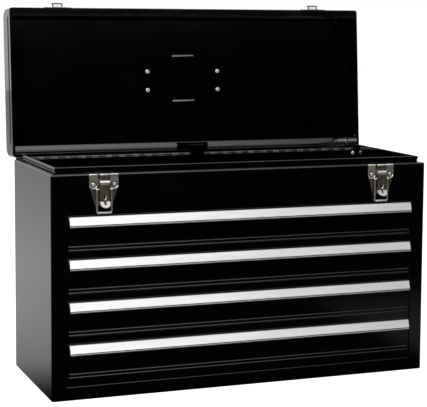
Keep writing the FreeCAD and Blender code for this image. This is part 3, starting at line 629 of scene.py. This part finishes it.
def latch_rolls(word):
    """The bright rolled edges over the base, with a painted highlight: along the covers and the tongue, and
    under the covers.
    """
    centre = LATCH_CENTRES[word]
    inner, outer = LOBE_REACHES
    start, end = TONGUE_ROLL_ENDS
    y = CASE_FRONT_Y - ROLL_RISE
    z = CASE_TOP_Z - ROLL_DROP
    piece = bead(centre - outer, centre - inner, y, z, ROLL_RADIUS)
    joined(piece, bead(centre + inner, centre + outer, y, z, ROLL_RADIUS),
           bead(centre + start, centre + end, y - ROLL_RISE, z, ROLL_RADIUS),
           lobe_foot(word, -1), lobe_foot(word, 1))
    piece.name = f"latch_rolls_{word}"
    smoothed(piece, ROLL_ANGLE)
    finished(piece, "polished_highlight_nickel", "case")


TONGUE_ENDS = (-0.0058, 0.0064)
TONGUE_TOP_DROP = 0.0011
TONGUE_FOOT_DROP = 0.0076
TONGUE_RISE = 0.0008
TONGUE_TOP_TURN = (0.0, 0.0009, 0.0)
TONGUE_FOOT_TURNS = ((0.0, 0.0004, -0.0005), (0.0, 0.0006, -0.0001))


def latch_tongue(word):
    """The raised flap above the lever's barrel, turned in at its foot."""
    start, end = (LATCH_CENTRES[word] + reach for reach in TONGUE_ENDS)
    top = CASE_TOP_Z - TONGUE_TOP_DROP
    low = CASE_TOP_Z - TONGUE_FOOT_DROP
    y = CASE_FRONT_Y - LATCH_PLATE - TONGUE_RISE
    piece = front_sheet(f"latch_tongue_{word}", start, end, low, top, y)
    select_in_mesh(piece, "edges", lambda co: abs(co.z - top) < NEAR)
    pulled_out(TONGUE_TOP_TURN)
    select_in_mesh(piece, "edges", lambda co: abs(co.z - low) < NEAR)
    for step in TONGUE_FOOT_TURNS:
        pulled_out(step)
    with_modifiers(piece, ("SOLIDIFY", {"thickness": SHEET, "offset": 1.0}))
    eased(piece, SHEET_EDGE)
    finished(piece, "shaded_nickel", "case")


BAIL_LEFT_END = (-0.0008, 0.0050)
BAIL_LEFT_RADIUS = 0.00125
BAIL_RIGHT_END = (-0.0032, 0.0006)
BAIL_RIGHT_RADIUS = 0.00145
BAIL_END_RISE = 0.0003
BAIL_END_DROP = 0.0011
BAIL_FOOT_INSET = 0.0016
BAIL_FOOT_Z = 0.00115
BAIL_FOOT_RADIUS = 0.0012


def bail_ends(word):
    """The bright parts of the bail: its turned-in ends and its foot, with a painted highlight."""
    low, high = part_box(f"latch_bail_{word}")
    middle_y = (low.y + high.y) / 2
    y = middle_y - BAIL_END_RISE
    z = high.z - BAIL_END_DROP
    piece = bead(low.x + BAIL_LEFT_END[0], low.x + BAIL_LEFT_END[1], y, z, BAIL_LEFT_RADIUS)
    joined(piece, bead(high.x + BAIL_RIGHT_END[0], high.x + BAIL_RIGHT_END[1], y, z, BAIL_RIGHT_RADIUS),
           bead(low.x + BAIL_FOOT_INSET, high.x - BAIL_FOOT_INSET, middle_y, low.z + BAIL_FOOT_Z,
                BAIL_FOOT_RADIUS))
    piece.name = f"bail_ends_{word}"
    smoothed(piece, ROLL_ANGLE)
    finished(piece, "polished_highlight_nickel", f"latch_bail_{word}")


TAIL_SHOULDER = Vector((0.0172, 0.0, -0.0205))
TAIL_FOOT = Vector((0.0113, 0.0, -0.0401))


def latch_tail(word):
    """The CAD base with its tail drawn in below the covers."""
    node = f"latch_base_{word}"
    piece = welded_copy(node, f"latch_base_{word}_drawn_in")
    run = TAIL_FOOT - TAIL_SHOULDER
    outward = Vector((-run.z, 0.0, run.x)).normalized()
    for side in (-1, 1):
        foot = (LATCH_CENTRES[word] + side * TAIL_FOOT.x, 0.0, CASE_TOP_Z + TAIL_FOOT.z)
        bpy.ops.object.mode_set(mode="EDIT")
        bpy.ops.mesh.select_all(action="SELECT")
        bpy.ops.mesh.bisect(plane_co=foot, plane_no=(side * outward.x, 0.0, outward.z), use_fill=True,
                            clear_outer=True)
        bpy.ops.object.mode_set(mode="OBJECT")
    eased(piece, SHEET_EDGE)
    finished(piece, "shaded_nickel", "case")
    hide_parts(node)


RIB_REACH = 0.0053
RIB_DROPS = (0.0065, 0.0245)
RIB_SECTION = (0.0013, 0.0009)
RIB_EDGE = 0.0004
RIB_RISE = 0.006


def lever_rib(x, top, low):
    """A low bead pressed along the lever's side."""
    deselect_objects()
    bpy.ops.mesh.primitive_cube_add(size=1.0, location=(x, CASE_FRONT_Y - RIB_RISE, (top + low) / 2))
    rib = bpy.context.active_object
    rib.scale = (*RIB_SECTION, top - low)
    bpy.ops.object.transform_apply(location=True, scale=True)
    with_modifiers(rib, ("BEVEL", {"width": RIB_EDGE, "segments": 3}))
    return rib


KEYHOLE_DROPS = (0.0262, 0.0276, 0.0288)
KEYHOLE_RADIUS = 0.0015
LEVER_EDGE = 0.00016


def latch_lever(word):
    """The CAD lever with its slot carried down into the turned-out end, and beads along its sides."""
    node = f"latch_lever_{word}"
    centre = LATCH_CENTRES[word]
    low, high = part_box(node)
    piece = welded_copy(node, f"latch_lever_{word}_pressed")
    for drop in KEYHOLE_DROPS:
        bored(piece, centre, high.z - drop, KEYHOLE_RADIUS, low.y - BORE_REACH, high.y + BORE_REACH)
    eased(piece, LEVER_EDGE)
    top, foot = (high.z - drop for drop in RIB_DROPS)
    joined(piece, *[lever_rib(centre + side * RIB_REACH, top, foot) for side in (-1, 1)])
    finished(piece, "lever_nickel", node)
    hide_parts(node)


CATCH_RADIUS = 0.0008
CATCH_LENGTH = 0.0032
CATCH_OFFSET = 0.0015
CATCH_RISE = 0.0062
CATCH_ABOVE_BEND = 0.0042
CATCH_BENDS = ((-0.0006, 0.0, -0.0012), (-0.0012, 0.0, -0.0010))
CATCH_EDGE = 0.0003
CATCH_ANGLE = 50.0


def lever_catch(word):
    """The bent wire that shows in the lever's slot, with a painted highlight."""
    foot = LEVER_BEND_Z + CATCH_ABOVE_BEND
    deselect_objects()
    bpy.ops.mesh.primitive_cylinder_add(vertices=16, radius=CATCH_RADIUS, depth=CATCH_LENGTH,
                                        location=(LATCH_CENTRES[word] + CATCH_OFFSET,
                                                  CASE_FRONT_Y - CATCH_RISE, foot + CATCH_LENGTH / 2))
    wire = bpy.context.active_object
    bpy.ops.object.transform_apply(location=True, rotation=True)
    for step in CATCH_BENDS:
        select_in_mesh(wire, "polygons", lambda co: co.z < foot + NEAR)
        pulled_out(step)
        foot += step[2]
    wire.name = f"lever_catch_{word}"
    eased(wire, CATCH_EDGE, CATCH_ANGLE)
    finished(wire, "polished_highlight_nickel", f"latch_lever_{word}")


for word in LATCH_CENTRES:
    latch_lobe(word, -1)
    latch_lobe(word, 1)
    latch_rolls(word)
    latch_tongue(word)
    bail_ends(word)

for word in LATCH_CENTRES:
    latch_tail(word)
    latch_lever(word)
    lever_catch(word)


# Lips in the lid's two slots

# LID_UP runs up along the open lid's top sheet, and LID_OUT back through it to the outside.
LID_PIVOT = middle_of("hinge_pin")
LID_OPEN = math.radians(94.4)
LID_UP = Vector((0.0, -math.cos(LID_OPEN), math.sin(LID_OPEN)))
LID_OUT = Vector((0.0, math.sin(LID_OPEN), math.cos(LID_OPEN)))
LID_INNER_DEPTH = 0.0415
HANDLE_MIDDLE = middle_of("handle_rivets")
SLOT_REACHES = {"far": 0.0361, "near": -0.0287}

FOLD_HALF_LENGTH = 0.0168
FOLD_RADIUS = 0.0015
FOLD_SINK = 0.0004
EDGE_ENDS = (-0.0148, 0.0166)
EDGE_RADIUS = 0.0009
EDGE_RISE = 0.0009
EDGE_BENT_END = -0.0142
EDGE_BEND = (-0.0016, 0.0, -0.0008)
EDGE_ANGLE = 50.0


def slot_lip(name, reach):
    """The folded lip that fills a slot in the lid, with a light grey edge, a painted highlight, bent down at
    one end.
    """
    middle = HANDLE_MIDDLE + LID_UP * reach
    inner_y = LID_PIVOT.y + (LID_UP * (middle.z - LID_PIVOT.z) / LID_UP.z).y + LID_INNER_DEPTH * LID_OUT.y
    fold = bead(-FOLD_HALF_LENGTH, FOLD_HALF_LENGTH, inner_y + FOLD_SINK, middle.z, FOLD_RADIUS)
    fold.name = f"slot_fold_{name}"
    finished(fold, "black_enamel", "lid")
    edge = bead(*EDGE_ENDS, inner_y - EDGE_RISE, middle.z, EDGE_RADIUS)
    select_in_mesh(edge, "polygons", lambda co: co.x < EDGE_BENT_END)
    bpy.ops.transform.translate(value=EDGE_BEND)
    bpy.ops.object.mode_set(mode="OBJECT")
    edge.name = f"slot_edge_{name}"
    smoothed(edge, EDGE_ANGLE)
    finished(edge, "slot_highlight_steel", "lid")


for name, reach in SLOT_REACHES.items():
    slot_lip(name, reach)


# Matt black bars of painted shade in the pulls' grooves, the lid's long dimples and the seams of the rim

BAR_EDGE = 0.0001


def shadow_bar(name, low, high, body, edge=BAR_EDGE, tilt=0.0):
    """A matt black bar of painted shade for the bottom of a groove or seam."""
    deselect_objects()
    middle = (Vector(low) + Vector(high)) / 2
    bpy.ops.mesh.primitive_cube_add(size=1.0, location=middle, rotation=(tilt, 0.0, 0.0))
    bar = bpy.context.active_object
    bar.scale = Vector(high) - Vector(low)
    bpy.ops.object.transform_apply(location=True, rotation=True, scale=True)
    with_modifiers(bar, ("BEVEL", {"width": edge, "segments": 2}))
    bar.name = name
    finished(bar, "matt_shadow", body)


GROOVE_INSET = 0.0002
GROOVE_DEPTHS = (0.0005, 0.0012)
GROOVE_RISES = (0.0016, 0.0024)

for number in (1, 2, 3, 4):
    low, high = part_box(f"drawer_{number}_pull")
    shadow_bar(f"pull_groove_shade_{number}",
               (low.x + GROOVE_INSET, low.y + GROOVE_DEPTHS[0], low.z + GROOVE_RISES[0]),
               (high.x - GROOVE_INSET, low.y + GROOVE_DEPTHS[1], low.z + GROOVE_RISES[1]),
               f"drawer_{number}")

DIMPLE_UP = 0.1066
DIMPLE_OUT = 0.0115
DIMPLE_MIDDLE = LID_PIVOT + LID_UP * DIMPLE_UP + LID_OUT * DIMPLE_OUT
DIMPLE_HALF_SIZE = Vector((0.0002, 0.0031, 0.084))
DIMPLE_SINK = 0.0004

for word, side in (("left", -1), ("right", 1)):
    middle = DIMPLE_MIDDLE.copy()
    middle.x = side * (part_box("lid_shell")[1].x - DIMPLE_SINK)
    shadow_bar(f"lid_dimple_shade_{word}", middle - DIMPLE_HALF_SIZE, middle + DIMPLE_HALF_SIZE, "lid",
               tilt=math.pi / 2 - LID_OPEN)

TRAY_LOW, TRAY_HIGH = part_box("till_tray")
SEAM_RISES = {"foot": (0.0, 0.0012), "hem": (0.0030, 0.0047)}
SEAM_PROUD = 0.0002
SEAM_DEPTH = 0.0012
SEAM_FRONT_INSET = 0.002
SEAM_BACK_INSET = 0.004
SEAM_EDGE = 0.0002

for word, face, side in (("left", TRAY_LOW.x, -1), ("right", TRAY_HIGH.x, 1)):
    for place, (foot, head) in SEAM_RISES.items():
        inner, outer = sorted((face + side * SEAM_PROUD, face - side * SEAM_DEPTH))
        shadow_bar(f"rim_seam_shade_{place}_{word}", (inner, TRAY_LOW.y + SEAM_FRONT_INSET, CASE_TOP_Z + foot),
                   (outer, TRAY_HIGH.y - SEAM_BACK_INSET, CASE_TOP_Z + head), "case", SEAM_EDGE)


# Floor, room and lamps

SEEN_FLOOR_GLOW = 0.66
WALL_BEHIND = 0.55
ROOM_LIGHT = 0.5


def lit_floor():
    """A pale floor. The camera sees it near white with the chest's shadow on it, and
    polished faces see it pale behind the chest and dim in front of it."""
    paint = bpy.data.materials.new("pale_floor")
    paint.use_nodes = True
    tree = paint.node_tree
    tree.nodes.clear()
    out = tree.nodes.new("ShaderNodeOutputMaterial")
    path = tree.nodes.new("ShaderNodeLightPath")
    x, y, _ = parts_of(tree, tree.nodes.new("ShaderNodeTexCoord").outputs["Object"])
    behind = ranged(tree, y, 0.0, 1.0, -0.1, 0.15, smooth=True)
    polished = worked(tree, "MAXIMUM", path.outputs["Is Glossy Ray"], path.outputs["Is Transmission Ray"])

    pale = tree.nodes.new("ShaderNodeBsdfDiffuse")
    pale.inputs["Color"].default_value = (0.8, 0.8, 0.8, 1.0)
    dim = tree.nodes.new("ShaderNodeBsdfDiffuse")
    greyer = worked(tree, "MULTIPLY", behind, ranged(tree, y, 0.38, 0.54, 0.1, 0.9))
    tree.links.new(worked(tree, "ADD", greyer, 0.003), dim.inputs["Color"])
    in_front = worked(tree, "SUBTRACT", 1.0, behind)
    body = tree.nodes.new("ShaderNodeMixShader")
    tree.links.new(polished, body.inputs["Fac"])
    tree.links.new(pale.outputs["BSDF"], body.inputs[1])
    tree.links.new(dim.outputs["BSDF"], body.inputs[2])

    right_end = ranged(tree, x, 0.0, 0.12, 0.27, 0.36, smooth=True)
    near = ranged(tree, y, 0.0, 1.0, -0.75, -0.3, smooth=True)
    mirrored_front = worked(tree, "MULTIPLY", worked(tree, "MULTIPLY", in_front, right_end), near)
    mirrored = worked(tree, "MULTIPLY", polished, mirrored_front)
    seen = worked(tree, "MULTIPLY", path.outputs["Is Camera Ray"], SEEN_FLOOR_GLOW)
    glow = tree.nodes.new("ShaderNodeEmission")
    tree.links.new(worked(tree, "ADD", mirrored, seen), glow.inputs["Strength"])

    both = tree.nodes.new("ShaderNodeAddShader")
    tree.links.new(body.outputs["Shader"], both.inputs[0])
    tree.links.new(glow.outputs["Emission"], both.inputs[1])
    tree.links.new(both.outputs["Shader"], out.inputs["Surface"])
    return paint


deselect_objects()
bpy.ops.mesh.primitive_plane_add(size=12.0, location=(0.0, 1.0, 0.0))
floor = bpy.context.active_object
floor.name = "floor"
bpy.ops.object.transform_apply(location=True)
floor.data.materials.append(lit_floor())


def white_room():
    """White for the camera. Polished faces see white behind, a softbox up in front that
    weakens to the right, and the dark end of the room low in front."""
    room = bpy.data.worlds.new("white_room")
    room.use_nodes = True
    tree = room.node_tree
    tree.nodes.clear()
    out = tree.nodes.new("ShaderNodeOutputWorld")
    wall = tree.nodes.new("ShaderNodeBackground")
    wall.inputs["Color"].default_value = (1.0, 1.0, 1.0, 1.0)
    tree.links.new(wall.outputs["Background"], out.inputs["Surface"])
    path = tree.nodes.new("ShaderNodeLightPath")
    x, y, z = parts_of(tree, tree.nodes.new("ShaderNodeTexCoord").outputs["Generated"])

    screen = ranged(tree, z, 0.0, 0.3, 0.12, 0.24, smooth=True)
    box_low = ranged(tree, z, 0.0, 1.0, 0.16, 0.3, smooth=True)
    box_high = ranged(tree, z, 1.0, 0.3, 0.72, 0.95, smooth=True)
    box_side = ranged(tree, x, 1.4, 0.0, 0.25, 0.48)
    softbox = worked(tree, "MULTIPLY", worked(tree, "MULTIPLY", box_low, box_high), box_side)
    front = worked(tree, "ADD", screen, softbox)
    behind = ranged(tree, y, 0.0, 1.0, -0.2, 0.1, smooth=True)
    around = blended(tree, behind, front, WALL_BEHIND, "FLOAT")

    polished = worked(tree, "MAXIMUM", path.outputs["Is Glossy Ray"], path.outputs["Is Transmission Ray"])
    mirrored = blended(tree, polished, ROOM_LIGHT, around, "FLOAT")
    seen = blended(tree, path.outputs["Is Camera Ray"], mirrored, 1.0, "FLOAT")
    tree.links.new(seen, wall.inputs["Strength"])
    return room


bpy.context.scene.world = white_room()


def soft_lamp(name, place, target, size, watts, mirrored):
    """A square lamp aimed at a target. Polished faces see it only where it is mirrored."""
    lamp = bpy.data.lights.new(name, "AREA")
    lamp.shape = "SQUARE"
    lamp.size = size
    lamp.energy = watts
    holder = bpy.data.objects.new(name, lamp)
    holder.location = place
    holder.rotation_euler = (Vector(target) - Vector(place)).to_track_quat("-Z", "Y").to_euler()
    holder.visible_glossy = mirrored
    bpy.context.scene.collection.objects.link(holder)


soft_lamp("key_lamp", (-1.3, -1.7, 1.9), (0.0, 0.0, 0.2), 1.1, 34.0, True)
soft_lamp("top_lamp", (0.2, -0.2, 2.4), (0.0, 0.0, 0.2), 1.4, 22.0, False)


# Camera, where the photographer stood: turned right, looking down, with a slight roll

CAMERA_PLACE = (-0.6878995, -1.823149, 0.4857774)
CAMERA_YAW = 0.37517
CAMERA_PITCH = -0.10187
CAMERA_ROLL = 0.00807

ahead = Vector((math.sin(CAMERA_YAW) * math.cos(CAMERA_PITCH),
                math.cos(CAMERA_YAW) * math.cos(CAMERA_PITCH),
                math.sin(CAMERA_PITCH)))
level_right = Vector((math.cos(CAMERA_YAW), -math.sin(CAMERA_YAW), 0.0))
level_up = level_right.cross(ahead)
right = math.cos(CAMERA_ROLL) * level_right + math.sin(CAMERA_ROLL) * level_up
up = math.cos(CAMERA_ROLL) * level_up - math.sin(CAMERA_ROLL) * level_right

lens = bpy.data.cameras.new("camera")
lens.sensor_width = 36.0
lens.lens = 121.5038
lens.shift_x = -0.0625293
lens.shift_y = -0.1006932
lens.clip_end = 50.0
camera = bpy.data.objects.new("camera", lens)
turn = Matrix((right, up, -ahead)).transposed().to_4x4()
camera.matrix_world = Matrix.Translation(CAMERA_PLACE) @ turn
bpy.context.scene.collection.objects.link(camera)
bpy.context.scene.camera = camera

bpy.context.scene.view_settings.view_transform = "Standard"
